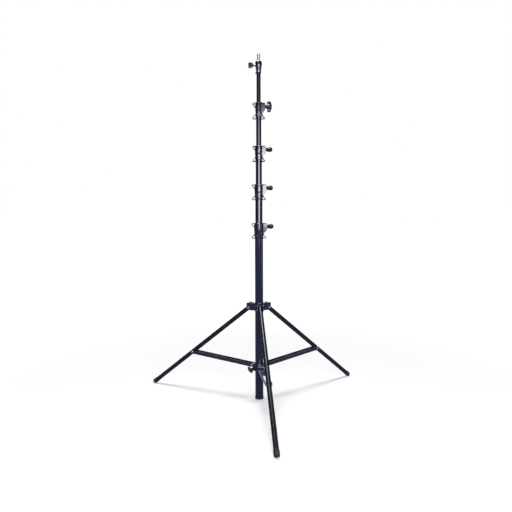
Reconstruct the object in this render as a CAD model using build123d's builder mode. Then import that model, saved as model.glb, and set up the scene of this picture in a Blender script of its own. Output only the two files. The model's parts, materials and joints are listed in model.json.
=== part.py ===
from build123d import *
import os
from math import atan2, cos, hypot, radians, sin, sqrt

# Five-section light stand with a folding tripod base.
# Millimetres, +Z up, origin on the floor below the column's axis.
# The front leg points to -Y and the collar knobs to +X.

os.makedirs("parts", exist_ok=True)

# ---------------------------------------------------------------- driving dimensions
# Column: five telescoping tubes, the base tube first
tube_od = [40.0, 35.0, 30.0, 25.0, 20.0]
tube_wall = 1.5
riser_length = 780.0
column_bottom = 4.0
collar_top = [876.0, 1062.0, 1245.0, 1447.0]
head_top = 1641.0
stud_top = 1675.0

# Clearances: parts that move on each other, and parts that are fixed together
running = 0.06
fixed = 0.05

# Collar castings
collar_wall = 3.7
collar_height = 75.0
lip = 1.6
bush_flange = 2.4
bush_sleeve = 28.0
waist_drop = 38.0
boss_end = [38.5, 35.5, 33.0, 30.5]
boss_half_width = 11.0
boss_height = 46.0
knob_drop = 17.0
screw_radius = 4.0

# Guy wires
wire_radius = 1.5
wire_reach = [13.5, 14.0, 12.5, 15.5]
wire_bend = 6.0
wire_drops = (3.0, 74.0)

# Tripod
leg_azimuths = {"front": -90.0, "right": 30.0, "left": 150.0}
hub_pivot = (54.0, 460.0)
hub_bottom, hub_top = 447.0, 486.0
hub_radius = 25.0
ear_reach = 62.0
ear_gap = 11.6
ear_outer = 15.0
foot_end = (628.0, 7.0)
foot_length = 27.0
sole_thickness = 6.0
leg_od = 22.0
leg_above_pivot = 14.0
leg_pin_radius = 4.0
plug_flange = 3.0

# Braces and the sliding lower collar
brace_on_leg = 416.0
collar_pivot = (36.0, 172.0)
lower_collar_bottom, lower_collar_top = 144.0, 187.0
lug_radius = 6.8
lug_half_width = 11.4
liner_radius = 21.6
brace_height = 18.0
brace_wall = 1.9
brace_pin_radius = 3.0
brace_bush_radius = 4.5
brace_web_start, brace_web_end = 20.0, 155.0
lock_azimuth = -150.0
lock_height = 159.0
lock_boss_end = 41.0
lock_boss_radius = 10.5
lock_tilt = radians(35)

# Wing knob
knob_gap = 1.5
knob_length = 30.0
wing_span = 52.0
wing_thickness = 8.0
screw_end = 19.0
lower_knob_size = 0.72

# ---------------------------------------------------------------- derived dimensions
tube_top = [top - lip - bush_flange - 0.1 for top in collar_top]
socket_bottom = head_top - 38.0
tube_top.append(socket_bottom - 3.0)
leg_run = foot_end[0] - hub_pivot[0]
leg_drop = hub_pivot[1] - foot_end[1]
leg_length = hypot(leg_run, leg_drop)
leg_angle = atan2(leg_run, leg_drop)
brace_outer = (
    hub_pivot[0] + brace_on_leg * sin(leg_angle),
    hub_pivot[1] - brace_on_leg * cos(leg_angle),
)
brace_rise = atan2(brace_outer[1] - collar_pivot[1], brace_outer[0] - collar_pivot[0])
brace_length = hypot(brace_outer[0] - collar_pivot[0], brace_outer[1] - collar_pivot[1])
brace_half_width = ear_gap + brace_wall


# ---------------------------------------------------------------- helpers
def save(builder, label):
    """Label a finished piece and write its STEP file."""
    builder.part.label = label
    export_step(builder.part, f"parts/{label}.step")


def radial(azimuth):
    """Unit vector that points away from the column at an azimuth in degrees."""
    return Vector(cos(radians(azimuth)), sin(radians(azimuth)), 0)


def tangent(azimuth):
    """Horizontal unit vector square to radial(azimuth)."""
    return Vector(-sin(radians(azimuth)), cos(radians(azimuth)), 0)


def at(azimuth, radius, height):
    """Point at a radius and height on the vertical plane of an azimuth."""
    return radial(azimuth) * radius + Vector(0, 0, height)


def radial_plane(azimuth):
    """Vertical plane through the column's axis: x runs outwards, y runs up."""
    return Plane(origin=(0, 0, 0), x_dir=radial(azimuth), z_dir=-tangent(azimuth))


def across(azimuth, radius, height):
    """Plane square to a hinge pin, with the pin's centre as its origin."""
    return Plane(origin=at(azimuth, radius, height), x_dir=radial(azimuth), z_dir=-tangent(azimuth))


def leg_plane(azimuth):
    """Plane square to a leg, with its origin on the hub pivot and its normal down the leg."""
    down = radial(azimuth) * sin(leg_angle) - Vector(0, 0, cos(leg_angle))
    return Plane(origin=at(azimuth, *hub_pivot), x_dir=tangent(azimuth), z_dir=down)


def brace_plane(azimuth):
    """Plane of a brace's side: x runs from the collar pivot to the leg, y runs up."""
    along = radial(azimuth) * cos(brace_rise) + Vector(0, 0, sin(brace_rise))
    return Plane(origin=at(azimuth, *collar_pivot), x_dir=along, z_dir=-tangent(azimuth))


# ---------------------------------------------------------------- column tubes
def make_tube(label, od, bottom, top, hole_radius=0.0, hole_height=0.0):
    """Round tube on the column's axis, with a hole for a lock screw on +X."""
    with BuildPart() as tube:
        with BuildSketch(Plane.XY.offset(bottom)):
            Circle(od / 2)
            Circle(od / 2 - tube_wall, mode=Mode.SUBTRACT)
        extrude(amount=top - bottom)
        if hole_radius:
            with BuildSketch(Plane.YZ):
                with Locations((0, hole_height)):
                    Circle(hole_radius)
            extrude(amount=od, mode=Mode.SUBTRACT)
    save(tube, label)


def make_guide(label, index, bottom):
    """Guide ring on a riser's lower end: it fills the gap to the tube below."""
    outer = tube_od[index - 1] / 2 - tube_wall - running
    inner = tube_od[index] / 2 + fixed
    lip_radius = tube_od[index] / 2 - tube_wall
    with BuildPart() as guide:
        with BuildSketch(Plane.XZ):
            with BuildLine():
                Polyline(
                    (lip_radius, bottom - 3),
                    (outer - 1, bottom - 3),
                    (outer, bottom - 2),
                    (outer, bottom + 22),
                    (inner, bottom + 22),
                    (inner, bottom - fixed),
                    (lip_radius, bottom - fixed),
                    close=True,
                )
            make_face()
        revolve(axis=Axis.Z)
    save(guide, label)


make_tube(
    "base_tube",
    tube_od[0],
    column_bottom + 3.1,
    tube_top[0],
    screw_radius + running,
    collar_top[0] - knob_drop,
)
for index in (1, 2, 3):
    make_tube(
        f"riser_{index}_tube",
        tube_od[index],
        tube_top[index] - riser_length,
        tube_top[index],
        screw_radius + running,
        collar_top[index] - knob_drop,
    )
make_tube("riser_4_tube", tube_od[4], tube_top[4] - riser_length, tube_top[4])
for index in (1, 2, 3, 4):
    make_guide(f"riser_{index}_guide", index, tube_top[index] - riser_length)

with BuildPart() as end_cap:
    with BuildSketch(Plane.XY.offset(column_bottom)):
        Circle(tube_od[0] / 2 + 1)
    extrude(amount=13)
    fillet(end_cap.faces().sort_by(Axis.Z)[0].edges(), 2.2)
    with BuildSketch(Plane.XY.offset(column_bottom + 3)):
        Circle(tube_od[0] / 2 + fixed)
    extrude(amount=13, mode=Mode.SUBTRACT)
    chamfer(end_cap.faces().sort_by(Axis.Z)[-1].outer_wire().edges(), 0.5)
save(end_cap, "base_end_cap")


# ---------------------------------------------------------------- clamp collars
def wire_corner(index):
    """Distance from the axis to the sharp corner of a collar's square wire ring."""
    return tube_od[index] / 2 + collar_wall + wire_reach[index] + wire_bend * (sqrt(2) - 1)


def wire_struts(index):
    """Strut ends for one collar's wires: pairs of (casting point, ring point)."""
    top = collar_top[index]
    body = tube_od[index] / 2 + collar_wall
    ring = body + wire_reach[index] - wire_radius
    upper, lower = wire_drops
    pairs = []
    for azimuth in (0, 90, 180, 270):
        for side in (-1, 1):
            spread = tangent(azimuth) * side
            tip = at(azimuth, ring, top - lower) + spread * 3.2
            root = at(azimuth, body * 0.72, top - 50) + spread * body * 0.55
            pairs.append((root, tip))
            # the clamp boss takes the place of the upper struts on +X
            if azimuth != 0:
                tip = at(azimuth, ring, top - upper) + spread * 3.2
                root = at(azimuth, body * 0.72, top - 27) + spread * body * 0.55
                pairs.append((root, tip))
    return pairs


def boss_entries(index):
    """Where the upper ring's two ends enter the clamp boss: pairs of (end, direction out of the boss)."""
    corner = wire_corner(index)
    inside = boss_half_width - 2
    height = collar_top[index] - wire_drops[0]
    return [(Vector(corner - inside, side * inside, height), Vector(-1, side, 0)) for side in (-1, 1)]


def make_wires(label, index):
    """Guy wire frame: an open ring above, a closed one below, and struts that join them to the casting."""
    top = collar_top[index]
    upper, lower = wire_drops
    corner = wire_corner(index)
    inside = boss_half_width - 2
    with BuildPart() as wires:
        with BuildLine(Plane.XY.offset(top - upper)) as open_ring:
            FilletPolyline(
                (corner - inside, inside),
                (0, corner),
                (-corner, 0),
                (0, -corner),
                (corner - inside, -inside),
                radius=wire_bend,
            )
        with BuildLine(Plane.XY.offset(top - lower)) as closed_ring:
            FilletPolyline(
                (corner, 0), (0, corner), (-corner, 0), (0, -corner), radius=wire_bend, close=True
            )
        for ring in (open_ring, closed_ring):
            with BuildSketch(Plane(origin=ring.line @ 0, z_dir=ring.line % 0)):
                Circle(wire_radius)
            sweep(path=ring.line)
        for root, tip in wire_struts(index):
            with BuildSketch(Plane(origin=root, z_dir=tip - root)):
                Circle(wire_radius)
            extrude(amount=(tip - root).length)
    save(wires, label)


def make_collar(label, index):
    """Clamp collar: a turned body with a waist groove and skirt, and a clamp boss on +X."""
    top = collar_top[index]
    tube = tube_od[index] / 2
    riser = tube_od[index + 1] / 2
    body = tube + collar_wall
    end = boss_end[index]
    with BuildPart() as casting:
        with BuildSketch(Plane.XZ):
            with BuildLine():
                Polyline(
                    (0, top - collar_height),
                    (tube + 1.3, top - collar_height),
                    (body - 0.7, top - waist_drop - 3),
                    (body - 1.7, top - waist_drop - 1.5),
                    (body - 1.7, top - waist_drop + 1.5),
                    (body, top - waist_drop + 3),
                    (body, top - 1.8),
                    (body - 1.8, top),
                    (0, top),
                    close=True,
                )
            make_face()
        revolve(axis=Axis.Z)
        # clamp boss with a rounded lower corner
        with BuildSketch(Plane.XZ) as boss:
            with BuildLine():
                Polyline((0, top - boss_height), (0, top - 0.5), (end, top - 0.5), (end, top - 26))
                ThreePointArc(
                    (end, top - 26), (end - 3.6, top - 38.5), (end - 11.5, top - boss_height)
                )
                Line((end - 11.5, top - boss_height), (0, top - boss_height))
            make_face()
            fillet(boss.vertices().group_by(Axis.X)[-1].sort_by(Axis.Z)[-1], 3.0)
        extrude(amount=boss_half_width, both=True)
        sides = casting.edges().filter_by_position(Axis.X, body + 1, end + 1)
        fillet(sides.filter_by(lambda e: abs(abs(e.center().Y) - boss_half_width) < 0.01), 1.0)
        # wire tab at the waist below the boss
        with BuildSketch(Plane.XY.offset(top - boss_height - 7)):
            with Locations((body, 0)):
                Rectangle(6, 8)
        extrude(amount=6)
        # seat for the tube, the bush and the riser
        with BuildSketch(Plane.XY.offset(top - collar_height - 1)):
            Circle(tube + fixed)
        extrude(amount=collar_height + 1 - lip, mode=Mode.SUBTRACT)
        with BuildSketch(Plane.XY.offset(top - lip - 1)):
            Circle(riser + 0.9)
        extrude(amount=lip + 2, mode=Mode.SUBTRACT)
        # lock screw hole
        with BuildSketch(Plane.YZ):
            with Locations((0, top - knob_drop)):
                Circle(screw_radius + running)
        extrude(amount=end + 5, mode=Mode.SUBTRACT)
        # sockets for the guy wires
        for root, tip in wire_struts(index):
            with BuildSketch(Plane(origin=root, z_dir=tip - root)):
                Circle(wire_radius + fixed)
            extrude(amount=(tip - root).length, mode=Mode.SUBTRACT)
        for wire_end, outward in boss_entries(index):
            with BuildSketch(Plane(origin=wire_end, z_dir=outward)):
                Circle(wire_radius + fixed)
            extrude(amount=10, mode=Mode.SUBTRACT)
    save(casting, label)


def make_bush(label, index):
    """Nylon bush: a flange under the casting's lip and a sleeve inside the tube."""
    top = collar_top[index]
    tube = tube_od[index] / 2
    inner = tube_od[index + 1] / 2 + running
    sleeve = tube - tube_wall - fixed
    with BuildPart() as bush:
        with BuildSketch(Plane.XZ):
            with BuildLine():
                Polyline(
                    (inner, top - lip - 0.05),
                    (tube - fixed, top - lip - 0.05),
                    (tube - fixed, top - lip - bush_flange),
                    (sleeve, top - lip - bush_flange),
                    (sleeve, top - lip - bush_sleeve),
                    (inner, top - lip - bush_sleeve),
                    close=True,
                )
            make_face()
        revolve(axis=Axis.Z)
        with BuildSketch(Plane.YZ):
            with Locations((0, top - knob_drop)):
                Circle(screw_radius + running)
        extrude(amount=tube, mode=Mode.SUBTRACT)
    save(bush, label)


for index in range(4):
    make_collar(f"collar_{index + 1}_casting", index)
    make_bush(f"collar_{index + 1}_bush", index)
    make_wires(f"collar_{index + 1}_guy_wires", index)


# ---------------------------------------------------------------- lock knobs
def make_knob(label, plane, size=1.0):
    """Wing knob: the plane's x runs out along its screw, the plane's z is square to the wings."""
    axis = Axis(plane.origin, plane.x_dir)
    start = knob_gap
    end = knob_gap + knob_length * size
    shoulder = start + 17 * size
    wing_start = start + 9 * size
    wing_end = end - 6 * size
    wing_tip = wing_span / 2 * size
    half_thickness = wing_thickness / 2 * size
    with BuildPart() as knob:
        with BuildSketch(plane):
            with BuildLine():
                Polyline(
                    (start, 0), (start, 7.4 * size), (start + 2 * size, 8.9 * size), (shoulder, 11.6 * size)
                )
                RadiusArc((shoulder, 11.6 * size), (end, 7 * size), 16 * size)
                Polyline((end, 7 * size), (end, 0), (start, 0))
            make_face()
        revolve(axis=axis)
        with BuildSketch(plane) as wings:
            with BuildLine():
                Polyline(
                    (wing_end, -wing_tip), (wing_start, -wing_tip), (start + 7 * size, 0),
                    (wing_start, wing_tip), (wing_end, wing_tip),
                )
                ThreePointArc((wing_end, wing_tip), (end + 1, 0), (wing_end, -wing_tip))
            make_face()
            corners = wings.vertices().filter_by(
                lambda v: abs(plane.to_local_coords(v.center()).Y) > wing_tip * 0.8
            )
            fillet(corners, 4 * size)
        extrude(amount=half_thickness, both=True)
        flats = knob.edges().filter_by(
            lambda e: abs(abs(plane.to_local_coords(e.center()).Z) - half_thickness) < 0.01
        )
        outer = flats.filter_by(lambda e: abs(plane.to_local_coords(e.center()).Y) > wing_tip * 0.6)
        fillet(outer, 2 * size)
        with BuildSketch(Plane(origin=plane.origin, z_dir=plane.x_dir)):
            Circle(screw_radius + fixed)
        extrude(amount=screw_end + 0.5, mode=Mode.SUBTRACT)
    save(knob, f"{label}_wing")


def make_screw(label, plane, tip, end, radius):
    """Lock screw along the plane's x, from a pad just clear of the tube to inside the knob."""
    with BuildPart() as screw:
        with BuildSketch(Plane(origin=plane.origin + plane.x_dir * tip, z_dir=plane.x_dir)):
            Circle(radius)
        extrude(amount=end - tip)
        chamfer(screw.faces().sort_by(Axis(plane.origin, plane.x_dir))[0].edges(), 0.6)
    save(screw, f"{label}_screw")


# the top collar's knob stands with its wings upright, the others lie level
wing_normals = [(0, 0, 1), (0, 0, 1), (0, 0, 1), (0, -1, 0)]
for index in range(4):
    knob_plane = Plane(
        origin=(boss_end[index], 0, collar_top[index] - knob_drop),
        x_dir=(1, 0, 0),
        z_dir=wing_normals[index],
    )
    make_knob(f"collar_{index + 1}_knob", knob_plane)
    screw_tip = tube_od[index + 1] / 2 + 0.1 - boss_end[index]
    make_screw(f"collar_{index + 1}_knob", knob_plane, screw_tip, screw_end, screw_radius)


# ---------------------------------------------------------------- head and spigot
head_bottom = 1582.0
socket_radius = 8.0
head_knob_height = head_top - 20.5
head_boss_end = 21.5
head_screw_radius = 3.0
rivet_height = head_bottom + 11.0

with BuildPart() as head:
    with BuildSketch(Plane.XZ):
        with BuildLine():
            Polyline(
                (0, head_bottom),
                (11.4, head_bottom),
                (11.9, head_bottom + 0.8),
                (12.2, head_bottom + 16),
                (14.0, head_bottom + 30),
                (16.2, head_bottom + 40),
                (16.4, head_bottom + 49),
            )
            ThreePointArc((16.4, head_bottom + 49), (14.6, head_bottom + 55.5), (9.4, head_top))
            Polyline((9.4, head_top), (0, head_top), (0, head_bottom))
        make_face()
    revolve(axis=Axis.Z)
    # knob boss on -X
    with BuildSketch(Plane(origin=(0, 0, head_knob_height), z_dir=(-1, 0, 0))):
        Circle(7)
    extrude(amount=head_boss_end, taper=5)
    # small lug for a safety cord
    with BuildSketch(Plane.XY.offset(head_bottom)):
        with Locations((-11.5, 0)):
            SlotOverall(9, 5)
    extrude(amount=5)
    # socket above, tube seat below
    with BuildSketch(Plane.XY.offset(socket_bottom)):
        Circle(socket_radius + running)
    extrude(amount=head_top, mode=Mode.SUBTRACT)
    with BuildSketch(Plane.XY.offset(head_bottom - 1)):
        Circle(tube_od[4] / 2 + fixed)
    extrude(amount=tube_top[4] + 0.1 - head_bottom + 1, mode=Mode.SUBTRACT)
    with BuildSketch(Plane.YZ):
        with Locations((0, head_knob_height)):
            Circle(head_screw_radius + running)
    extrude(amount=-30, mode=Mode.SUBTRACT)
    with BuildSketch(Plane.XZ):
        with Locations((0, rivet_height)):
            Circle(2.05)
    extrude(amount=20, mode=Mode.SUBTRACT)
save(head, "head_casting")

with BuildPart() as head_rivet:
    with BuildSketch(Plane.XZ.offset(10.2)):
        with Locations((0, rivet_height)):
            Circle(2.0)
    extrude(amount=2.4)
    with BuildSketch(Plane.XZ.offset(12.3)):
        with Locations((0, rivet_height)):
            Circle(3.6)
    extrude(amount=1.6)
    fillet(head_rivet.faces().sort_by(Axis.Y)[0].edges(), 1.0)
save(head_rivet, "head_rivet")

with BuildPart() as spigot:
    with BuildSketch(Plane.XZ):
        with BuildLine():
            Polyline(
                (0, socket_bottom + 0.2),
                (7.0, socket_bottom + 0.2),
                (8.0, socket_bottom + 1.2),
                (8.0, head_top + 0.6),
                (6.4, head_top + 2.0),
                (6.4, head_top + 4.2),
                (8.0, head_top + 5.8),
                (8.0, stud_top - 1.2),
                (6.8, stud_top),
                (0, stud_top),
                close=True,
            )
        make_face()
    revolve(axis=Axis.Z)
save(spigot, "spigot")

head_knob_plane = Plane(origin=(-head_boss_end, 0, head_knob_height), x_dir=(-1, 0, 0), z_dir=(0, -1, 0))
head_knob_axis = Axis(head_knob_plane.origin, head_knob_plane.x_dir)
with BuildPart() as head_knob:
    with BuildSketch(head_knob_plane) as outline:
        with BuildLine():
            Polyline(
                (2, -4.5), (2, 4.5), (7, 9.4), (15, 13.4), (27, 13.4), (27, -13.4), (15, -13.4), (7, -9.4),
                close=True,
            )
        make_face()
        fillet(outline.vertices().group_by(Axis.X)[0], 4)
    extrude(amount=3.6, both=True)
    flats = head_knob.edges().filter_by(lambda e: abs(abs(e.center().Y) - 3.6) < 0.01)
    fillet(flats, 1.0)
    with BuildSketch(head_knob_plane):
        with BuildLine():
            Polyline((2, 0), (2, 5.2), (14, 6.4), (16, 5.4), (16, 0), close=True)
        make_face()
    revolve(axis=head_knob_axis)
    with BuildSketch(Plane(origin=head_knob_plane.origin, z_dir=(-1, 0, 0))):
        Circle(head_screw_radius + fixed)
    extrude(amount=14, mode=Mode.SUBTRACT)
save(head_knob, "head_knob_wing")
make_screw("head_knob", head_knob_plane, 8.1 - head_boss_end, 13.5, head_screw_radius)


# ---------------------------------------------------------------- tripod hub
def make_rivets(label, radius, height, half_length, shank, head_radius, head_height):
    """Three rivets across the hinges at one radius and height, each with a domed head at both ends."""
    with BuildPart() as rivets:
        for azimuth in leg_azimuths.values():
            for side in (-1, 1):
                outward = tangent(azimuth) * side
                base = at(azimuth, radius, height) + outward * half_length
                with BuildSketch(Plane(origin=base, z_dir=outward)):
                    Circle(head_radius)
                extrude(amount=head_height, taper=32)
            with BuildSketch(across(azimuth, radius, height)):
                Circle(shank)
            extrude(amount=half_length + 0.2, both=True)
    save(rivets, label)


with BuildPart() as hub:
    with BuildSketch(Plane.XY.offset(hub_bottom)):
        Circle(hub_radius)
    extrude(amount=hub_top - hub_bottom)
    chamfer(hub.faces().sort_by(Axis.Z)[-1].edges(), 1.0)
    for azimuth in leg_azimuths.values():
        with BuildSketch(radial_plane(azimuth)) as ear:
            with BuildLine():
                Polyline(
                    (10, hub_bottom),
                    (42, hub_bottom),
                    (ear_reach - 1, hub_pivot[1] - 7),
                    (ear_reach, hub_top - 1.5),
                    (10, hub_top - 1.5),
                    close=True,
                )
            make_face()
            outer = ear.vertices().filter_by(lambda v: hypot(v.X, v.Y) > 38)
            fillet(outer, 6.5)
        extrude(amount=ear_outer, both=True)
    for azimuth in leg_azimuths.values():
        with BuildSketch(radial_plane(azimuth)):
            with Locations((60, hub_pivot[1] + 5)):
                Rectangle(54, 60)
        extrude(amount=ear_gap, both=True, mode=Mode.SUBTRACT)
        with BuildSketch(across(azimuth, *hub_pivot)):
            Circle(leg_pin_radius + fixed)
        extrude(amount=30, both=True, mode=Mode.SUBTRACT)
    with BuildSketch(Plane.XY.offset(hub_bottom - 1)):
        Circle(tube_od[0] / 2 + fixed)
    extrude(amount=hub_top, mode=Mode.SUBTRACT)
save(hub, "hub_casting")

make_rivets("hub_pivot_rivets", *hub_pivot, ear_outer + 0.05, leg_pin_radius, 6.0, 2.6)


# ---------------------------------------------------------------- legs
def make_leg(name, azimuth):
    """Leg tube with its top plug, the bush at the brace and the rubber foot."""
    plane = leg_plane(azimuth)
    outer = leg_od / 2
    inner = outer - tube_wall
    brace_centre = at(azimuth, *brace_outer)
    with BuildPart() as leg:
        with BuildSketch(plane.offset(-leg_above_pivot + plug_flange + fixed)):
            Circle(outer)
            Circle(inner, mode=Mode.SUBTRACT)
        extrude(amount=leg_length + leg_above_pivot - plug_flange - fixed - sole_thickness - 0.1)
        with BuildSketch(across(azimuth, *hub_pivot)):
            Circle(leg_pin_radius + running)
        extrude(amount=outer + 1, both=True, mode=Mode.SUBTRACT)
        with BuildSketch(Plane(origin=brace_centre, z_dir=tangent(azimuth))):
            Circle(brace_bush_radius + fixed)
        extrude(amount=outer + 1, both=True, mode=Mode.SUBTRACT)
    save(leg, f"leg_{name}_tube")

    with BuildPart() as plug:
        with BuildSketch(plane.offset(-leg_above_pivot)):
            Circle(outer)
        extrude(amount=plug_flange)
        fillet(plug.faces().sort_by(Axis(plane.origin, plane.z_dir))[0].edges(), 1.4)
        with BuildSketch(plane.offset(-leg_above_pivot + 2)):
            Circle(inner - fixed)
        extrude(amount=32)
        with BuildSketch(across(azimuth, *hub_pivot)):
            Circle(leg_pin_radius + running)
        extrude(amount=outer + 1, both=True, mode=Mode.SUBTRACT)
    save(plug, f"leg_{name}_top_plug")

    with BuildPart() as bush:
        with BuildSketch(Plane(origin=brace_centre, z_dir=tangent(azimuth))):
            Circle(brace_bush_radius)
            Circle(brace_pin_radius + 0.1, mode=Mode.SUBTRACT)
        extrude(amount=outer - 1.2, both=True)
    save(bush, f"leg_{name}_brace_bush")

    down_leg = Axis(plane.origin, plane.z_dir)
    with BuildPart() as foot:
        with BuildSketch(plane.offset(leg_length - foot_length)):
            Circle(outer + 1.3)
        extrude(amount=foot_length)
        fillet(foot.faces().filter_by(GeomType.PLANE).sort_by(down_leg)[-1].edges(), 4)
        fillet(foot.faces().filter_by(GeomType.PLANE).sort_by(down_leg)[0].edges(), 0.6)
        with BuildSketch(plane.offset(leg_length - foot_length - 1)):
            Circle(outer + fixed)
        extrude(amount=foot_length + 1 - sole_thickness, mode=Mode.SUBTRACT)
        # the sole is flat where it stands on the floor
        split(bisect_by=Plane.XY, keep=Keep.TOP)
    save(foot, f"leg_{name}_foot")


# ---------------------------------------------------------------- braces
def make_brace(name, azimuth):
    """U-channel brace, open upwards, whose web stops short so that the folded leg nests in it."""
    plane = brace_plane(azimuth)
    half = brace_height / 2
    with BuildPart() as brace:
        with BuildSketch(plane):
            with BuildLine():
                Line((0, half), (brace_length, half))
                RadiusArc((brace_length, half), (brace_length, -half), half)
                Line((brace_length, -half), (0, -half))
                RadiusArc((0, -half), (0, half), half)
            make_face()
        extrude(amount=brace_half_width, both=True)
        # the channel's inside
        with BuildSketch(plane):
            with Locations((brace_length / 2, brace_wall)):
                Rectangle(brace_length + 40, brace_height)
        extrude(amount=ear_gap, both=True, mode=Mode.SUBTRACT)
        # the web's two ends
        with BuildSketch(plane):
            with Locations((brace_web_start - 20, 0)):
                Rectangle(40, brace_height + 2)
            with Locations((brace_web_end + brace_length / 2, 0)):
                Rectangle(brace_length, brace_height + 2)
        extrude(amount=ear_gap, both=True, mode=Mode.SUBTRACT)
        for centre in (collar_pivot, brace_outer):
            with BuildSketch(across(azimuth, *centre)):
                Circle(brace_pin_radius + running)
            extrude(amount=30, both=True, mode=Mode.SUBTRACT)
    save(brace, f"brace_{name}_channel")

    with BuildPart() as rivets:
        for side in (-1, 1):
            outward = tangent(azimuth) * side
            inner_end = at(azimuth, *brace_outer) + outward * (ear_gap + 0.05)
            with BuildSketch(Plane(origin=inner_end, z_dir=outward)):
                Circle(brace_pin_radius)
            extrude(amount=brace_wall + 0.2)
            head_base = at(azimuth, *brace_outer) + outward * (brace_half_width + 0.05)
            with BuildSketch(Plane(origin=head_base, z_dir=outward)):
                Circle(5.0)
            extrude(amount=2.2, taper=32)
    save(rivets, f"brace_{name}_rivets")


for name, azimuth in leg_azimuths.items():
    make_leg(name, azimuth)
    make_brace(name, azimuth)


# ---------------------------------------------------------------- sliding lower collar
pivot_radius, pivot_height = collar_pivot

with BuildPart() as lower_collar:
    with BuildSketch(Plane.XY.offset(lower_collar_bottom)):
        Circle(hub_radius)
    extrude(amount=lower_collar_top - lower_collar_bottom)
    chamfer(lower_collar.edges().filter_by(GeomType.CIRCLE), 1.0)
    for azimuth in leg_azimuths.values():
        with BuildSketch(radial_plane(azimuth)):
            with BuildLine():
                Line((12, pivot_height + lug_radius), (pivot_radius, pivot_height + lug_radius))
                ThreePointArc(
                    (pivot_radius, pivot_height + lug_radius),
                    (pivot_radius + lug_radius, pivot_height),
                    (pivot_radius, pivot_height - lug_radius),
                )
                Polyline(
                    (pivot_radius, pivot_height - lug_radius),
                    (24, pivot_height - 14),
                    (12, pivot_height - 14),
                    (12, pivot_height + lug_radius),
                )
            make_face()
        extrude(amount=lug_half_width, both=True)
        with BuildSketch(across(azimuth, *collar_pivot)):
            Circle(brace_pin_radius + fixed)
        extrude(amount=30, both=True, mode=Mode.SUBTRACT)
    with BuildSketch(Plane(origin=(0, 0, lock_height), z_dir=radial(lock_azimuth))):
        Circle(lock_boss_radius)
    extrude(amount=lock_boss_end, taper=3)
    with BuildSketch(Plane.XY.offset(lower_collar_bottom - 1)):
        Circle(liner_radius)
    extrude(amount=100, mode=Mode.SUBTRACT)
    with BuildSketch(Plane(origin=(0, 0, lock_height), z_dir=radial(lock_azimuth))):
        Circle(screw_radius + running)
    extrude(amount=lock_boss_end + 5, mode=Mode.SUBTRACT)
save(lower_collar, "lower_collar_casting")

with BuildPart() as liner:
    with BuildSketch(Plane.XY.offset(lower_collar_bottom)):
        Circle(liner_radius - fixed)
        Circle(tube_od[0] / 2 + running, mode=Mode.SUBTRACT)
    extrude(amount=lower_collar_top - lower_collar_bottom)
    with BuildSketch(Plane(origin=(0, 0, lock_height), z_dir=radial(lock_azimuth))):
        Circle(screw_radius + running)
    extrude(amount=30, mode=Mode.SUBTRACT)
save(liner, "lower_collar_liner")

make_rivets("lower_collar_pins", *collar_pivot, brace_half_width + 0.1, brace_pin_radius, 5.0, 2.2)

# the lower knob's wings lie tilted from upright
lock_plane = Plane(
    origin=at(lock_azimuth, lock_boss_end, lock_height),
    x_dir=radial(lock_azimuth),
    z_dir=tangent(lock_azimuth) * cos(lock_tilt) + Vector(0, 0, sin(lock_tilt)),
)
lock_screw_tip = tube_od[0] / 2 + 0.1 - lock_boss_end
make_knob("lower_collar_knob", lock_plane, lower_knob_size)
make_screw("lower_collar_knob", lock_plane, lock_screw_tip, screw_end, screw_radius)
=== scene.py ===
"""Looks of a folding telescopic light stand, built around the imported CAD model. Metres, +Z up."""

import json
import math

import bmesh
import bpy
from mathutils import Matrix, Vector

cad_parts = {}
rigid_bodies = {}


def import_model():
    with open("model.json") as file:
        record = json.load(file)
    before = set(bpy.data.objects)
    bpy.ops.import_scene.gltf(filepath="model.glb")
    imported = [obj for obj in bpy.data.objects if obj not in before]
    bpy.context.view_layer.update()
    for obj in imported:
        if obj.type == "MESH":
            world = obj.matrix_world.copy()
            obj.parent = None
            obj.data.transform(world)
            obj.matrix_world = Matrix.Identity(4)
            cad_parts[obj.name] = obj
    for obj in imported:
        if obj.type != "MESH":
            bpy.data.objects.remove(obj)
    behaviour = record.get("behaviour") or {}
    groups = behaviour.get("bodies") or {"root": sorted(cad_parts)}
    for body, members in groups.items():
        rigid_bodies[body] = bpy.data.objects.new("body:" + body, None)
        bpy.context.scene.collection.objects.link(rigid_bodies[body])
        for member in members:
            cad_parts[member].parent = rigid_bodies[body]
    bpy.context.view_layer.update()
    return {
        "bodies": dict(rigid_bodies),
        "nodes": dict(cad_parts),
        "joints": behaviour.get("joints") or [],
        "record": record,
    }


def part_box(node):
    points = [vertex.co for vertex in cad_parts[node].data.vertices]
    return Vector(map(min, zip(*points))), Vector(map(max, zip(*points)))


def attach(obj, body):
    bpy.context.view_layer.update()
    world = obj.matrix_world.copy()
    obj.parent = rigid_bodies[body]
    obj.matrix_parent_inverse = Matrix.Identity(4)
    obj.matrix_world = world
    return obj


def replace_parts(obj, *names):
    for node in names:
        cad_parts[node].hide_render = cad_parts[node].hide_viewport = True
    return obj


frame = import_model()
joints = {joint["name"]: joint for joint in frame["joints"]}

MM = 0.001
UP = Vector((0, 0, 1))
LEGS = ("front", "right", "left")

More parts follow.
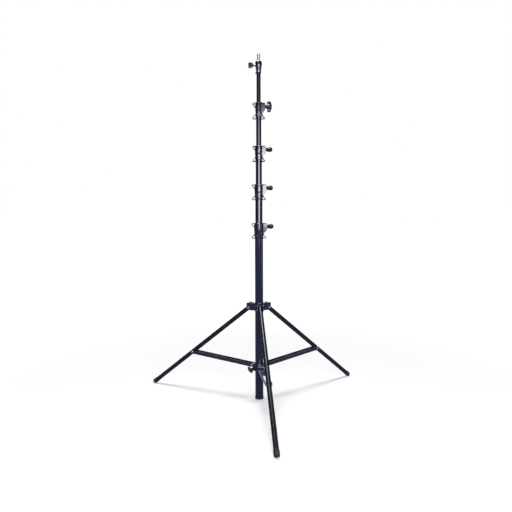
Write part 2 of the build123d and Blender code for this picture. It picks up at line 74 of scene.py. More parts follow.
# ------------------------------------------------------------------ colours (linear)
PAINT = (0.0060, 0.0068, 0.0200)
PAINT_DEEP = (0.0036, 0.0040, 0.0130)
CAST = (0.0080, 0.0088, 0.0190)
LEG = (0.0110, 0.0112, 0.0150)
LEG_DEEP = (0.0060, 0.0060, 0.0100)
PLASTIC = (0.0100, 0.0100, 0.0120)
RUBBER = (0.0130, 0.0130, 0.0140)
NYLON = (0.0230, 0.0230, 0.0250)
BARE_METAL = (0.42, 0.43, 0.45)
ZINC = (0.145, 0.15, 0.16)
STEEL = (0.62, 0.63, 0.65)
DULL_STEEL = (0.34, 0.34, 0.35)
CHROME = (0.66, 0.67, 0.68)
STAIN = (0.12, 0.12, 0.12)
DUST = (0.10, 0.10, 0.11)


# ------------------------------------------------------------------ shader kit
# an edge shows where the rounded normal leans from the true one: the cosines where it starts and is full
EDGE_STARTS, EDGE_FULL = 0.958, 0.79


class Shader:
    """A material whose nodes are made and joined by short calls."""

    def __init__(self, name):
        self.material = bpy.data.materials.new(name)
        self.material.use_nodes = True
        self.tree = self.material.node_tree
        self.tree.nodes.clear()
        self.output = self.tree.nodes.new("ShaderNodeOutputMaterial")
        self.bsdf = self.tree.nodes.new("ShaderNodeBsdfPrincipled")
        self.link(self.bsdf.outputs[0], self.output.inputs[0])
        self.place = self.tree.nodes.new("ShaderNodeTexCoord").outputs["Object"]

    def link(self, source, target):
        self.tree.links.new(source, target)

    def put(self, socket, value):
        """Sets a socket to a number, a colour or another node's output."""
        if isinstance(value, bpy.types.NodeSocket):
            self.link(value, socket)
        elif isinstance(value, tuple) and len(value) == 3 and socket.type == "RGBA":
            socket.default_value = (*value, 1.0)
        else:
            socket.default_value = value

    def set(self, **values):
        """Sets Principled inputs by name, with _ for a space."""
        for name, value in values.items():
            self.put(self.bsdf.inputs[name.replace("_", " ")], value)

    def stretched(self, x, y, z):
        """Object coordinates scaled along each axis, for grain and scratches."""
        node = self.tree.nodes.new("ShaderNodeVectorMath")
        node.operation = "MULTIPLY"
        self.put(node.inputs[0], self.place)
        node.inputs[1].default_value = (x, y, z)
        return node.outputs[0]

    def noise(self, scale, detail, vector=None, roughness=0.55):
        """Cloudy noise; a scale of n has n features per metre."""
        node = self.tree.nodes.new("ShaderNodeTexNoise")
        self.put(node.inputs["Vector"], vector or self.place)
        node.inputs["Scale"].default_value = scale
        node.inputs["Detail"].default_value = detail
        node.inputs["Roughness"].default_value = roughness
        return node.outputs["Fac"]

    def cells(self, scale):
        """Distance to the nearest of many scattered points, for spots."""
        node = self.tree.nodes.new("ShaderNodeTexVoronoi")
        self.put(node.inputs["Vector"], self.place)
        node.inputs["Scale"].default_value = scale
        return node.outputs["Distance"]

    def remap(self, value, low, high, to_low=0.0, to_high=1.0):
        """Stretches low..high to to_low..to_high and cuts off the rest."""
        node = self.tree.nodes.new("ShaderNodeMapRange")
        node.clamp = True
        self.put(node.inputs[0], value)
        for socket, number in zip(list(node.inputs)[1:5], (low, high, to_low, to_high)):
            socket.default_value = number
        return node.outputs[0]

    def math(self, operation, a, b=0.0):
        node = self.tree.nodes.new("ShaderNodeMath")
        node.operation = operation
        self.put(node.inputs[0], a)
        self.put(node.inputs[1], b)
        return node.outputs[0]

    def mix(self, factor, a, b):
        node = self.tree.nodes.new("ShaderNodeMix")
        node.data_type = "RGBA"
        self.put(node.inputs[0], factor)
        self.put(node.inputs[6], a)
        self.put(node.inputs[7], b)
        return node.outputs[2]

    def bump(self, height, depth, normal=None):
        """Bump of a true depth in metres."""
        node = self.tree.nodes.new("ShaderNodeBump")
        node.inputs["Strength"].default_value = 1.0
        node.inputs["Distance"].default_value = depth
        self.put(node.inputs["Height"], height)
        if normal is not None:
            self.put(node.inputs["Normal"], normal)
        return node.outputs[0]

    def edges(self, radius):
        """1 along sharp edges within radius, 0 on open faces."""
        bevel = self.tree.nodes.new("ShaderNodeBevel")
        bevel.samples = 4
        bevel.inputs["Radius"].default_value = radius
        geometry = self.tree.nodes.new("ShaderNodeNewGeometry")
        dot = self.tree.nodes.new("ShaderNodeVectorMath")
        dot.operation = "DOT_PRODUCT"
        self.link(bevel.outputs[0], dot.inputs[0])
        self.link(geometry.outputs["Normal"], dot.inputs[1])
        return self.remap(dot.outputs["Value"], EDGE_STARTS, EDGE_FULL)

    def low_dust(self, height):
        """1 at the floor, 0 above a height, broken up by noise."""
        separate = self.tree.nodes.new("ShaderNodeSeparateXYZ")
        self.link(self.place, separate.inputs[0])
        fade = self.remap(separate.outputs[2], 0.0, height, 1.0, 0.0)
        return self.math("MULTIPLY", fade, self.remap(self.noise(90, 6), 0.42, 0.72))


# ------------------------------------------------------------------ materials
PAINT_EDGE = 0.5 * MM
PLASTIC_EDGE = 0.7 * MM
DUST_HEIGHT = 20 * MM
CLEAR_COAT_ROUGHNESS = 0.06
HAIRLINE_DEPTH = 1e-6
METAL_GRAIN_DEPTH = 6e-6


def paint(name, colour, deep, roughness, grain, peel, coat, specular=0.5, wear=0.7):
    """Enamel on metal: orange peel, faint hairline rubs along the grain, bare metal on sharp edges."""
    s = Shader(name)
    cloud = s.remap(s.noise(14, 5), 0.35, 0.65)
    base = s.mix(cloud, deep, colour)
    rubs = s.noise(1.0, 3, s.stretched(*grain), 0.6)
    hairline = s.remap(rubs, 0.655, 0.70)
    base = s.mix(s.math("MULTIPLY", hairline, 0.012), base, BARE_METAL)
    worn = s.math("MULTIPLY", s.edges(PAINT_EDGE), s.remap(s.noise(220, 6), 0.42, 0.66))
    worn = s.math("MULTIPLY", worn, wear)
    base = s.mix(worn, base, BARE_METAL)
    gloss = s.remap(s.noise(55, 6), 0.3, 0.7, roughness * 0.8, roughness * 1.25)
    gloss = s.math("ADD", gloss, s.math("MULTIPLY", hairline, 0.06))
    skin = s.bump(s.noise(900, 2), peel)
    skin = s.bump(rubs, HAIRLINE_DEPTH, skin)
    s.set(
        Base_Color=base,
        Metallic=s.math("MULTIPLY", worn, 0.9),
        Roughness=gloss,
        Normal=skin,
        Specular_IOR_Level=specular,
        Coat_Weight=coat,
        Coat_Roughness=CLEAR_COAT_ROUGHNESS,
    )
    return s.material


def bare_metal(name, colour, roughness, grain, stain=0.25, metallic=1.0):
    """Plated or brushed steel: fine grain, cloudy plating and dull spots."""
    s = Shader(name)
    cloud = s.remap(s.noise(60, 5), 0.3, 0.7)
    dull = tuple(channel * (1 - stain) for channel in colour)
    lines = s.noise(1.0, 4, s.stretched(*grain), 0.7)
    base = s.mix(cloud, dull, colour)
    base = s.mix(s.remap(lines, 0.35, 0.75, 0.0, 0.35), base, dull)
    spots = s.remap(s.cells(700), 0.0, 0.12, 1.0, 0.0)
    base = s.mix(s.math("MULTIPLY", spots, 0.35), base, STAIN)
    s.set(
        Base_Color=base,
        Metallic=metallic,
        Roughness=s.remap(lines, 0.3, 0.8, roughness * 0.75, roughness * 1.4),
        Normal=s.bump(lines, METAL_GRAIN_DEPTH),
    )
    return s.material


def moulded(name, colour, roughness, grain, depth, wear=0.35, specular=0.5, dusty=False):
    """Moulded plastic or rubber: spark-eroded grain, polished high spots and pale rubbed edges."""
    s = Shader(name)
    speck = s.noise(grain, 3)
    cloud = s.remap(s.noise(40, 4), 0.3, 0.7)
    pale = tuple(min(1.0, channel * 3.2 + 0.01) for channel in colour)
    base = s.mix(cloud, colour, tuple(channel * 1.35 for channel in colour))
    rubbed = s.math("MULTIPLY", s.edges(PLASTIC_EDGE), s.remap(s.noise(160, 5), 0.4, 0.65))
    base = s.mix(s.math("MULTIPLY", rubbed, wear), base, pale)
    if dusty:
        base = s.mix(s.math("MULTIPLY", s.low_dust(DUST_HEIGHT), 0.6), base, DUST)
    s.set(
        Base_Color=base,
        Roughness=s.remap(s.noise(120, 5), 0.3, 0.7, roughness * 0.85, roughness * 1.2),
        Specular_IOR_Level=specular,
        Normal=s.bump(speck, depth),
    )
    return s.material


materials = {
    "tube": paint("tube_enamel", PAINT, PAINT_DEEP, 0.15, (900, 900, 5), 2e-6, 0.6),
    "casting": paint("casting_enamel", CAST, PAINT_DEEP, 0.17, (240, 240, 60), 3e-6, 1.0, wear=0.8),
    "leg": paint("leg_enamel", LEG, LEG_DEEP, 0.30, (500, 500, 40), 7e-6, 0.0, 0.35),
    "brace": paint("brace_enamel", LEG, LEG_DEEP, 0.18, (60, 500, 500), 4e-6, 0.9),
    "wire": bare_metal("zinc_wire", ZINC, 0.36, (1500, 1500, 1500)),
    "rivet": bare_metal("rivet_steel", STEEL, 0.22, (900, 900, 900), 0.15),
    "screw": bare_metal("screw_steel", DULL_STEEL, 0.30, (2500, 2500, 2500), 0.3),
    "spigot": bare_metal("spigot_steel", CHROME, 0.30, (60, 60, 2600), 0.12, 0.45),
    "knob": moulded("knob_plastic", PLASTIC, 0.26, 1300, 6e-6, 0.30, 0.35),
    "cap": moulded("cap_plastic", PLASTIC, 0.48, 1100, 1.2e-5, 0.35),
    "bush": moulded("bush_nylon", NYLON, 0.42, 900, 6e-6, 0.2),
    "foot": moulded("foot_rubber", RUBBER, 0.62, 1500, 2.5e-5, 0.5, dusty=True),
}

SLOT_MATERIAL = {
    "tube_paint": "tube",
    "casting_paint": "casting",
    "leg_paint": "leg",
    "zinc_wire": "wire",
    "rivet_steel": "rivet",
    "screw_steel": "screw",
    "spigot_steel": "spigot",
    "knob_plastic": "knob",
    "cap_plastic": "cap",
    "bush_nylon": "bush",
    "foot_rubber": "foot",
}


def dress_cad_nodes():
    """Gives every CAD node its slot's material; the braces are glossier than the legs."""
    for entry in frame["record"]["subparts"]:
        node = frame["nodes"][entry["node"]]
        look = SLOT_MATERIAL[entry["material_slot"]]
        if look == "leg" and entry["node"].startswith("brace_"):
            look = "brace"
        if not node.material_slots:
            node.data.materials.append(materials[look])
        for place in node.material_slots:
            place.link = "OBJECT"
            place.material = materials[look]


dress_cad_nodes()


# ------------------------------------------------------------------ mesh helpers
def add_piece(name, mesh, material, body):
    """Links a mesh as a smooth piece that rides on a CAD body."""
    piece = bpy.data.objects.new(name, mesh)
    bpy.context.scene.collection.objects.link(piece)
    mesh.materials.append(materials[material])
    mesh.polygons.foreach_set("use_smooth", [True] * len(mesh.polygons))
    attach(piece, body)
    return piece


def loft(name, rings, placement):
    """Closed mesh through rings of points, each end closed by a fan, moved by a matrix."""
    shape = bmesh.new()
    rows = [[shape.verts.new(placement @ Vector(point)) for point in ring] for ring in rings]
    count = len(rows[0])
    for lower, upper in zip(rows, rows[1:]):
        for i in range(count):
            j = (i + 1) % count
            shape.faces.new((lower[i], lower[j], upper[j], upper[i]))
    for row, flip in ((rows[0], True), (rows[-1], False)):
        middle = shape.verts.new(sum((v.co for v in row), Vector()) / count)
        for i in range(count):
            a, b = row[i], row[(i + 1) % count]
            shape.faces.new((b, a, middle) if flip else (a, b, middle))
    bmesh.ops.recalc_face_normals(shape, faces=shape.faces)
    mesh = bpy.data.meshes.new(name)
    shape.to_mesh(mesh)
    shape.free()
    return mesh


def turned(name, profile, placement, sides=64):
    """Solid of revolution about local X from (x, radius) pairs."""
    rings = []
    for x, radius in profile:
        turn = [2 * math.pi * i / sides for i in range(sides)]
        rings.append([(x, radius * math.cos(a), radius * math.sin(a)) for a in turn])
    return loft(name, rings, placement)


def basis(origin, x_axis, z_axis):
    """Matrix from local axes: x along x_axis, z along z_axis."""
    x = Vector(x_axis).normalized()
    z = (Vector(z_axis) - x * x.dot(Vector(z_axis))).normalized()
    y = z.cross(x)
    turn = Matrix((x, y, z)).transposed().to_4x4()
    return Matrix.Translation(Vector(origin)) @ turn


# ------------------------------------------------------------------ wing knobs
# millimetres along the screw from the boss, and the radius or half-span there
HUB = [(1.5, 7.4), (1.9, 8.2), (3.5, 8.9), (8.0, 9.8), (13.0, 10.8), (18.5, 11.6), (22.0, 11.6)]
HUB += [(25.5, 11.0), (28.0, 9.9), (30.0, 8.5), (31.4, 7.0), (32.1, 5.6)]
WING = [(10.0, 0), (10.2, 12), (10.5, 19), (11.0, 23), (12.0, 25.2), (13.5, 25.9), (21.5, 25.9)]
WING += [(23.5, 25.5), (25.3, 24.6), (26.6, 23.3), (27.6, 21.8), (28.5, 20.0), (29.6, 16.9)]
WING += [(30.6, 13.4), (31.4, 9.9), (32.1, 6.6)]
KNOB_STEPS = [1.5, 1.9, 2.6, 3.5, 6.0, 8.3, 10.0, 10.2, 10.5, 11.0, 12.0, 13.5]
KNOB_STEPS += [14.0 + 0.75 * i for i in range(11)]
KNOB_STEPS += [22.5, 23.5, 24.4, 25.3, 26.6, 27.6, 28.5, 29.6, 30.6, 31.4, 32.1]
# start, end, depth and pitch of the finger grooves
KNOB_GROOVES = (14.0, 23.0, 0.16, 3.0)
WING_HALF_THICKNESS = 3.95
WING_THINS_FROM, WING_THINS_BY = 27.0, 0.12
HEAD_HUB = [(2, 4.8), (3, 5.2), (8, 5.6), (13, 6.1), (15, 5.8), (17, 4.4), (19, 3.4), (26.9, 3.0)]
HEAD_WING = [(2, 4.4), (4, 6.6), (7, 9.6), (11, 12.0), (15, 13.2), (19, 13.4), (22, 13.4)]
HEAD_WING += [(25, 13.3), (26.2, 12.6), (26.9, 11.2)]
HEAD_STEPS = [2, 2.4, 3, 5, 7, 9, 11, 13, 15, 16, 17, 18, 19, 20, 21, 22, 23, 24, 25, 26.2, 26.9]
HEAD_GROOVES = (17.9, 25.1, 0.22, 2.0)
HEAD_HALF_THICKNESS = 3.5
# rim of the metal insert, from the end of the knob
INSERT_RIM = [(-1.5, 3.0), (0.25, 3.0), (0.55, 2.7), (0.55, 1.5), (-0.4, 1.2)]
KNOB_END, HEAD_KNOB_END = 31.8, 26.6
KNOB_GAP = 1.5 * MM
KNOB_SIZE = {"lower_collar_knob": 0.72}
WING_ANGLE = {"collar_4_knob": 90.0, "head_knob": 90.0, "lower_collar_knob": 145.0}


def table_value(table, x):
    """Straight-line value of a table of (x, value) pairs."""
    if x <= table[0][0]:
        return table[0][1]
    for (x0, v0), (x1, v1) in zip(table, table[1:]):
        if x <= x1:
            return v0 + (v1 - v0) * (x - x0) / (x1 - x0)
    return table[-1][1]


def wing_section(x, hub, span, thickness, sides=72):
    """Ring of a knob at x: a round hub run smoothly into two flat wings."""
    ring = []
    for i in range(sides):
        a = 2 * math.pi * i / sides
        radius = hub
        if span > hub:
            flat = ((abs(math.cos(a)) / span) ** 5 + (abs(math.sin(a)) / thickness) ** 5) ** -0.2
            radius = (hub**9 + flat**9) ** (1 / 9)
        across = min(radius, max(span, hub)) * math.cos(a)
        ring.append((x * MM, across * MM, radius * math.sin(a) * MM))
    return ring


def groove(x, start, end, depth, pitch):
    """Depth of the finger grooves across a wing at x."""
    if not start < x < end:
        return 0.0
    return depth * (1 + math.cos((x - start) * 2 * math.pi / pitch)) / 2


def collar_knob_mesh(name, placement):
    """Moulded wing knob: a swelling hub, two flat wings with shallow finger grooves and a domed end."""
    rings = []
    for x in KNOB_STEPS:
        thinner = groove(x, *KNOB_GROOVES) + WING_THINS_BY * max(0.0, x - WING_THINS_FROM)
        thickness = WING_HALF_THICKNESS - thinner
        rings.append(wing_section(x, table_value(HUB, x), table_value(WING, x), thickness))
    return loft(name, rings, placement)


def head_knob_mesh(name, placement):
    """Small paddle-shaped thumb knob that widens outwards."""
    rings = []
    for x in HEAD_STEPS:
        thickness = HEAD_HALF_THICKNESS - groove(x, *HEAD_GROOVES)
        rings.append(wing_section(x, table_value(HEAD_HUB, x), table_value(HEAD_WING, x), thickness))
    return loft(name, rings, placement)


def knob_placement(joint):
    """Matrix that puts a knob on its joint, turned to its wing angle and scaled to its size."""
    body = joint["child"]
    axis = Vector(joint["axis"])
    level = UP.cross(axis).normalized()
    along_wing = Matrix.Rotation(math.radians(WING_ANGLE.get(body, 0.0)), 3, axis) @ level
    gap = Matrix.Translation((KNOB_GAP, 0, 0))
    size = Matrix.Scale(KNOB_SIZE.get(body, 1.0), 4)
    return basis(joint["pos_m"], axis, axis.cross(along_wing)) @ gap @ size @ gap.inverted()


def add_knobs():
    """A moulded knob and the metal insert in its end for every lock knob."""
    for name, joint in joints.items():
        if not name.endswith("_knob_turn"):
            continue
        body = joint["child"]
        placement = knob_placement(joint)
        build, end = collar_knob_mesh, KNOB_END
        if body == "head_knob":
            build, end = head_knob_mesh, HEAD_KNOB_END
        moulding = f"{body}_moulding"
        knob = add_piece(moulding, build(moulding, placement), "knob", body)
        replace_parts(knob, f"{body}_wing")
        profile = [((end + x) * MM, radius * MM) for x, radius in INSERT_RIM]
        insert = f"{body}_insert"
        add_piece(insert, turned(insert, profile, placement, 48), "screw", body)


add_knobs()


# ------------------------------------------------------------------ guy wires
WIRE_RADIUS = 1.5 * MM
LOOP_BEND = 9 * MM
LOOP_HALF_GAP = 2.6 * MM
# a wire enters the casting at these shares of its radius, outwards and sideways
ROOT_OUT, ROOT_ASIDE = 0.76, 0.52
UPPER_ROOT_DROP = 27 * MM
LOWER_ROOT_DROP = 52 * MM
BOSS_ENTRY = 9 * MM
WAIST_DROP = 38 * MM
# thickness and sink of the black ring that paints the shade in the waist groove
BAND_RADIUS = 1.5 * MM
BAND_SINK = 1.3 * MM
COLLAR_BODY = {1: "column", 2: "riser_1", 3: "riser_2", 4: "riser_3"}
TURNS = [Vector((1, 0, 0)), Vector((0, 1, 0)), Vector((-1, 0, 0)), Vector((0, -1, 0))]


def rounded_corner(before, corner, after, radius, steps=8):
    """Points of a round bend at a corner, by a quadratic curve between its two tangent points."""
    start = corner + (before - corner).normalized() * radius
    end = corner + (after - corner).normalized() * radius
    points = []
    for i in range(steps + 1):
        t = i / steps
        points.append(start * (1 - t) ** 2 + corner * 2 * t * (1 - t) + end * t**2)
    return points


def bent_path(corners, radius):
    """Corners of an open wire joined by straight runs and round bends."""
    points = [corners[0]]
    for before, corner, after in zip(corners, corners[1:], corners[2:]):
        points += rounded_corner(before, corner, after, radius)
    points.append(corners[-1])
    return points


def wire_mesh(name, paths, radius, closed=False):
    """One mesh of round wires through several paths."""
    curve = bpy.data.curves.new(name, "CURVE")
    curve.dimensions = "3D"
    curve.bevel_depth = radius
    curve.bevel_resolution = 5
    curve.use_fill_caps = True
    for points in paths:
        spline = curve.splines.new("POLY")
        spline.points.add(len(points) - 1)
        for point, place in zip(spline.points, points):
            point.co = (*place, 1.0)
        spline.use_cyclic_u = closed
    holder = bpy.data.objects.new(name + "_curve", curve)
    bpy.context.scene.collection.objects.link(holder)
    depsgraph = bpy.context.evaluated_depsgraph_get()
    mesh = bpy.data.meshes.new_from_object(holder.evaluated_get(depsgraph))
    bpy.data.objects.remove(holder)
    return mesh


def wire_arm(turn, sign, body, reach, root_height, ring_height):
    """Two points of a wire on one side of a corner: its root in the casting and its outer tip."""
    out = TURNS[turn % 4]
    side = UP.cross(out) * sign
    root = out * body * ROOT_OUT + side * body * ROOT_ASIDE + UP * root_height
    return [root, out * reach + side * LOOP_HALF_GAP + UP * ring_height]


def collar_wires(index):
    """Paths of one collar's wires: each leaves the casting, bends at a tip and runs on to the next."""
    low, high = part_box(f"collar_{index}_guy_wires")
    casting_low, casting_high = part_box(f"collar_{index}_casting")
    body, top = -casting_low.x, casting_high.z
    reach = high.y - WIRE_RADIUS
    upper = (body, reach, top - UPPER_ROOT_DROP, high.z - WIRE_RADIUS)
    lower = (body, reach, top - LOWER_ROOT_DROP, low.z + WIRE_RADIUS)
    paths = []
    for turns, level in (((0, 1, 2, 3), lower), ((1, 2), upper)):
        for turn in turns:
            paths.append(wire_arm(turn, 1, *level) + wire_arm(turn + 1, -1, *level)[::-1])
    # the clamp boss takes the two ends of the upper wires
    for turn, sign in ((1, -1), (3, 1)):
        inside_boss = Vector((reach + LOOP_HALF_GAP - BOSS_ENTRY, -sign * BOSS_ENTRY, upper[-1]))
        paths.append(wire_arm(turn, sign, *upper) + [inside_boss])
    return [bent_path(path, LOOP_BEND) for path in paths]


def add_guy_wires():
    """Bent wire frame round each collar."""
    for index, body in COLLAR_BODY.items():
        name = f"collar_{index}_wire_frame"
        mesh = wire_mesh(name, collar_wires(index), WIRE_RADIUS)
        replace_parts(add_piece(name, mesh, "wire", body), f"collar_{index}_guy_wires")


add_guy_wires()


def add_waist_bands():
    """Painted shade: a matte black ring sunk in the waist groove of every collar, a dark line standing
    in for the groove's shadow.
    """
    for index, body in COLLAR_BODY.items():
        low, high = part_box(f"collar_{index}_casting")
        radius = -low.x - BAND_SINK
        angles = [2 * math.pi * i / 64 for i in range(64)]
        height = high.z - WAIST_DROP
        path = [Vector((radius * math.cos(a), radius * math.sin(a), height)) for a in angles]
        name = f"collar_{index}_waist_shade_ring"
        # painted shade: the ring takes the rubber material only to look dark in the groove
        add_piece(name, wire_mesh(name, [path], BAND_RADIUS, True), "foot", body)


add_waist_bands()


# ------------------------------------------------------------------ rivets
# millimetres out from the seat, and the radius there
WASHER = [(-0.25, 6.6), (0.3, 6.6), (0.45, 6.4), (0.45, 5.1)]
DOME = [(0.45, 5.0), (0.9, 4.9), (1.35, 4.55), (1.8, 3.9), (2.15, 3.0), (2.4, 1.8), (2.5, 0.7)]
EAR_OUTER = 15 * MM
BRACE_OUTER = 13.5 * MM
HUB_RIVET_SIZE = 1.15
BRACE_RIVET_SIZE = 0.95
HEAD_RIVET_SIZE = 0.6
HEAD_RIVET_SEAT = 1.6 * MM


def rivet_head(name, centre, outward, size):
    """Domed rivet head on a thin washer, turned about its own axis."""
    profile = [(x * size * MM, radius * size * MM) for x, radius in WASHER + DOME]
    return turned(name, profile, basis(centre, outward, UP), 40)


def joined(name, meshes):
    """One mesh from several."""
    shape = bmesh.new()
    for mesh in meshes:
        shape.from_mesh(mesh)
        bpy.data.meshes.remove(mesh)
    whole = bpy.data.meshes.new(name)
    shape.to_mesh(whole)
    shape.free()
    return whole


def replace_rivets(node, body, pins, half_length, size):
    """Domed heads at both ends of a CAD node's pins, each pin given by its centre and axis."""
    name = f"{node}_domed"
    meshes = []
    for centre, axis in pins:
        for outward in (axis, -axis):
            meshes.append(rivet_head(name, centre + outward * half_length, outward, size))
    piece = add_piece(name, joined(name, meshes), "rivet", body)
    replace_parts(piece, node)


def joint_pins(pattern):
    """Centre and axis of one joint per leg."""
    found = (joints[pattern.format(name)] for name in LEGS)
    return [(Vector(joint["pos_m"]), Vector(joint["axis"])) for joint in found]


def add_rivets():
    """Domed rivets at the hub, the lower collar, the brace ends and the front of the head."""
    hub_pins, collar_pins = joint_pins("leg_{}_fold"), joint_pins("brace_{}_turn")
    replace_rivets("hub_pivot_rivets", "column", hub_pins, EAR_OUTER, HUB_RIVET_SIZE)
    replace_rivets("lower_collar_pins", "lower_collar", collar_pins, BRACE_OUTER, BRACE_RIVET_SIZE)
    for name, (_, axis) in zip(LEGS, hub_pins):
        low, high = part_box(f"leg_{name}_brace_bush")
        pin = ((low + high) / 2, axis)
        replace_rivets(f"brace_{name}_rivets", f"brace_{name}", [pin], BRACE_OUTER, BRACE_RIVET_SIZE)
    low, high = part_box("head_rivet")
    seat = Vector(((low.x + high.x) / 2, low.y + HEAD_RIVET_SEAT, (low.z + high.z) / 2))
    mesh = rivet_head("head_rivet_domed", seat, Vector((0, -1, 0)), HEAD_RIVET_SIZE)
    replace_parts(add_piece("head_rivet_domed", mesh, "rivet", "riser_4"), "head_rivet")


add_rivets()


# ------------------------------------------------------------------ rubber feet
# angle from the open legs to the folded ones, which hang straight down
FOLD = math.radians(joints["leg_front_fold"]["range_deg"][1])
# millimetres along the leg from the foot's end, and the radius there
SLEEVE = [(-27.0, 11.1), (-27.0, 11.9), (-26.6, 12.2), (-24.0, 12.3)]
GROOVED_RIB = [(0.0, 12.3), (0.35, 11.7), (1.2, 11.7), (1.55, 12.3), (2.2, 12.35)]
RIBS, RIBS_START, RIB_PITCH = 5, -22.5, 3.0
SOLE_BEND = 4.2
SOLE_RADIUS = 12.3
SOLE_HOLLOW = (-0.3, 5.0)


def foot_profile(end):
    """Ribbed sleeve and rounded sole of a foot that ends at a distance in mm along the leg."""
    profile = list(SLEEVE)
    for rib in range(RIBS):
        start = RIBS_START + rib * RIB_PITCH
        profile += [(start + x, radius) for x, radius in GROOVED_RIB]
    for step in range(7):
        a = math.radians(90 * step / 6)
        bend = (SOLE_BEND * (math.sin(a) - 1), SOLE_RADIUS + SOLE_BEND * (math.cos(a) - 1))
        profile.append(bend)
    profile.append(SOLE_HOLLOW)
    return [((end + x) * MM, radius * MM) for x, radius in profile]


def add_feet():
    """Ribbed rubber foot on each leg, flattened where it stands on the floor."""
    for name in LEGS:
        joint = joints[f"leg_{name}_fold"]
        pivot = Vector(joint["pos_m"])
        along = Matrix.Rotation(-FOLD, 3, Vector(joint["axis"])) @ -UP
        node = f"leg_{name}_foot"
        vertices = frame["nodes"][node].data.vertices
        end = max((vertex.co - pivot).dot(along) for vertex in vertices) / MM
        ribbed = f"{node}_ribbed"
        mesh = turned(ribbed, foot_profile(end), basis(pivot, along, joint["axis"]), 72)
        for vertex in mesh.vertices:
            vertex.co.z = max(vertex.co.z, 0.0)
        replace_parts(add_piece(ribbed, mesh, "foot", f"leg_{name}"), node)


add_feet()


# ------------------------------------------------------------------ floor, light and camera
HUB_HEIGHT = joints["leg_front_fold"]["pos_m"][2]
SLIDE = joints["lower_collar_slide"]["range_m"][1]
FLOOR_HALF = 30.0
FLOOR_GAP = 0.0004
FLOOR_DIM = (0.90, 0.90, 0.91)
FLOOR_PALE = (0.93, 0.93, 0.93)
FLOOR_GLOW = (1.1, 1.1, 1.1)
FLOOR_MIRRORED = (0.20, 0.23, 0.40)
# metres from the stand, and the share of the glow in the floor's look there
GLOW_NEAR, GLOW_FAR = (0.75, 0.36), (2.2, 1.0)


def lower_with_legs(floor):
    """Drives the floor's height from the lower collar, so that the feet stay on it as the legs fold."""
    leg = HUB_HEIGHT / math.cos(FOLD)
    driver = floor.driver_add("location", 2).driver
    variable = driver.variables.new()
    variable.name = "lift"
    variable.type = "TRANSFORMS"
    variable.targets[0].id = frame["bodies"]["lower_collar"]
    variable.targets[0].transform_type = "LOC_Z"
    variable.targets[0].transform_space = "WORLD_SPACE"
    driver.type = "SCRIPTED"
    reach = f"cos({FOLD:.6f} * (1 - lift / {SLIDE:.6f})) - cos({FOLD:.6f})"
    driver.expression = f"-{FLOOR_GAP} - {leg:.5f} * ({reach})"


def add_floor():
    """Pale floor with soft shadows near the stand, running out into the white surround.

    Part of what the camera sees of it is a glow, and mirrored in gloss it looks dim and bluish.
    """
    mesh = bpy.data.meshes.new("floor")
    corners = [(-FLOOR_HALF, -FLOOR_HALF, 0), (FLOOR_HALF, -FLOOR_HALF, 0)]
    corners += [(FLOOR_HALF, FLOOR_HALF, 0), (-FLOOR_HALF, FLOOR_HALF, 0)]
    mesh.from_pydata(corners, [], [(0, 1, 2, 3)])
    floor = bpy.data.objects.new("floor", mesh)
    bpy.context.scene.collection.objects.link(floor)
    s = Shader("pale_floor")
    clouds = s.mix(s.noise(3.0, 3), FLOOR_DIM, FLOOR_PALE)
    s.set(Base_Color=clouds, Roughness=0.9, Specular_IOR_Level=0.1)
    distance = s.tree.nodes.new("ShaderNodeVectorMath")
    distance.operation = "LENGTH"
    s.link(s.place, distance.inputs[0])
    path = s.tree.nodes.new("ShaderNodeLightPath")
    (near, near_glow), (far, far_glow) = GLOW_NEAR, GLOW_FAR
    share = s.remap(distance.outputs["Value"], near, far, near_glow, far_glow)
    share = s.math("MULTIPLY", share, path.outputs["Is Camera Ray"])
    glow = s.tree.nodes.new("ShaderNodeEmission")
    s.put(glow.inputs[0], s.mix(path.outputs["Is Glossy Ray"], FLOOR_GLOW, FLOOR_MIRRORED))
    blend = s.tree.nodes.new("ShaderNodeMixShader")
    s.link(s.math("MAXIMUM", share, path.outputs["Is Glossy Ray"]), blend.inputs[0])
    s.link(s.bsdf.outputs[0], blend.inputs[1])
    s.link(glow.outputs[0], blend.inputs[2])
    s.link(blend.outputs[0], s.output.inputs[0])
    mesh.materials.append(s.material)
    lower_with_legs(floor)


COOL_WHITE = (0.90, 0.90, 1.0)


def add_area(name, place, target, size, power, colour=(1, 1, 1)):
    """Rectangular soft light, width by height in metres, that faces a target."""
    light = bpy.data.lights.new(name, "AREA")
    light.shape = "RECTANGLE"
    light.size, light.size_y = size
    light.energy = power
    light.color = colour
    lamp = bpy.data.objects.new(name, light)
    bpy.context.scene.collection.objects.link(lamp)
    lamp.location = place
    lamp.rotation_euler = (Vector(target) - Vector(place)).to_track_quat("-Z", "Y").to_euler()


SURROUND_TINT = (0.90, 0.91, 1.0)
# brightness of the surround in reflections: (cosine of the angle to the camera's side, value)
SURROUND = [(-1.0, 1.1), (-0.97, 1.1), (-0.82, 0.05), (0.70, 0.07), (0.95, 0.75)]


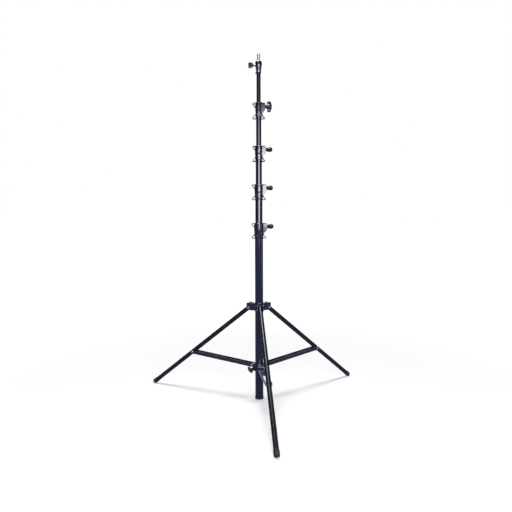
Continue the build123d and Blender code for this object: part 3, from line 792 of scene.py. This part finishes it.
def add_world(away):
    """Surround that is white for the camera, and for other rays bright in front and behind only."""
    world = bpy.data.worlds.new("studio")
    bpy.context.scene.world = world
    world.use_nodes = True
    tree = world.node_tree
    tree.nodes.clear()
    output = tree.nodes.new("ShaderNodeOutputWorld")
    seen = tree.nodes.new("ShaderNodeBackground")
    lit = tree.nodes.new("ShaderNodeBackground")
    place = tree.nodes.new("ShaderNodeTexCoord")
    along = tree.nodes.new("ShaderNodeVectorMath")
    along.operation = "DOT_PRODUCT"
    tree.links.new(place.outputs["Generated"], along.inputs[0])
    along.inputs[1].default_value = tuple(away)
    ramp = tree.nodes.new("ShaderNodeValToRGB")
    ramp.color_ramp.interpolation = "EASE"
    stops = ramp.color_ramp.elements
    for dot, _ in SURROUND[2:]:
        stops.new((dot + 1) / 2)
    for stop, (dot, brightness) in zip(stops, SURROUND):
        stop.position = (dot + 1) / 2
        stop.color = tuple(channel * brightness for channel in SURROUND_TINT) + (1,)
    share = tree.nodes.new("ShaderNodeMath")
    share.operation = "MULTIPLY_ADD"
    tree.links.new(along.outputs["Value"], share.inputs[0])
    share.inputs[1].default_value = 0.5
    share.inputs[2].default_value = 0.5
    tree.links.new(share.outputs[0], ramp.inputs[0])
    seen.inputs[0].default_value = (1, 1, 1, 1)
    tree.links.new(ramp.outputs[0], lit.inputs[0])
    path = tree.nodes.new("ShaderNodeLightPath")
    blend = tree.nodes.new("ShaderNodeMixShader")
    tree.links.new(path.outputs["Is Camera Ray"], blend.inputs[0])
    tree.links.new(lit.outputs[0], blend.inputs[1])
    tree.links.new(seen.outputs[0], blend.inputs[2])
    tree.links.new(blend.outputs[0], output.inputs[0])


CAMERA_AZIMUTH = math.radians(6.0)
CAMERA_DISTANCE = 2.466
CAMERA_HEIGHT = 0.908
CAMERA_PITCH = math.radians(4.47)
CAMERA_ROLL = math.radians(-0.15)
CAMERA_LENS = 35.67
CAMERA_SHIFT = -0.0059


def add_camera():
    """Camera a little to the left of the front leg. Returns the level direction towards it."""
    data = bpy.data.cameras.new("camera")
    data.lens = CAMERA_LENS
    data.sensor_width = 36.0
    data.shift_x = CAMERA_SHIFT
    camera = bpy.data.objects.new("camera", data)
    bpy.context.scene.collection.objects.link(camera)
    away = Vector((-math.sin(CAMERA_AZIMUTH), -math.cos(CAMERA_AZIMUTH), 0))
    camera.location = away * CAMERA_DISTANCE + UP * CAMERA_HEIGHT
    level = (-away * math.cos(CAMERA_PITCH) - UP * math.sin(CAMERA_PITCH)).normalized()
    facing = level.to_track_quat("-Z", "Y").to_matrix()
    camera.rotation_euler = (facing @ Matrix.Rotation(CAMERA_ROLL, 3, "Z")).to_euler()
    bpy.context.scene.camera = camera
    return away


def add_studio(away):
    """A soft box beside the camera, a weaker one above it, an overhead and a low strip on the right."""
    right = UP.cross(away)
    front = away * 2.6 + right * 0.48
    column_middle = Vector((0, 0, 1.2))
    add_area("front_softbox", front + UP * 1.2, column_middle, (2.0, 0.78), 48, COOL_WHITE)
    add_area("upper_softbox", front + UP * 1.78, column_middle, (2.9, 0.36), 10, SURROUND_TINT)
    add_area("overhead", (-0.2, 0.1, 3.8), (0, 0, 0), (1.0, 1.0), 120)
    add_area("right_strip", away * 0.9 + right * 2.6 + UP * 0.8, (0, 0, 0.7), (0.45, 1.2), 2)


add_floor()
view_away = add_camera()
add_world(view_away)
add_studio(view_away)
bpy.context.scene.view_settings.view_transform = "Standard"
